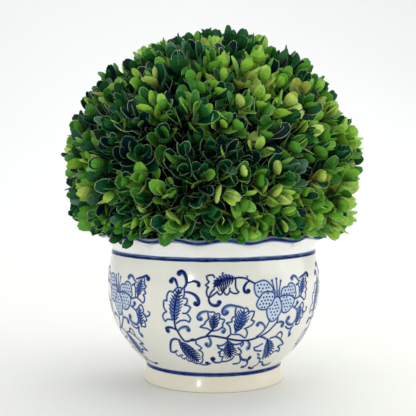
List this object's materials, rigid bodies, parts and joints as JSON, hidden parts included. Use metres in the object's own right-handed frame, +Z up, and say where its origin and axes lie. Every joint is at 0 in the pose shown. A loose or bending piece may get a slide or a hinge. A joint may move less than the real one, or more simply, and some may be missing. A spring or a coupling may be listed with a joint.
{
  "type": "clipped box ball in a glazed bowl pot",
  "caption": "Clipped box shrub, a dense ball of small rounded leaves, standing in a white bowl pot with a waved rim and blue scrolled vines, for a table or a sill.",
  "frame": {"origin": "middle of the pot's foot, on the surface that it stands on", "axes": "+Z up the pot's axis to the top of the crown; the front of the pot's pattern faces -Y; +X to the right of someone who looks at the front"},
  "size_m": [0.22, 0.22, 0.262],
  "materials": {
    "glaze": "gloss",
    "soil": "matte",
    "bark": "matte",
    "leaf": "satin"
  },
  "bodies": {
    "root": {"pot": "glaze", "soil": "soil", "stem": "bark", "crown": "leaf"}
  },
  "joints": []
}
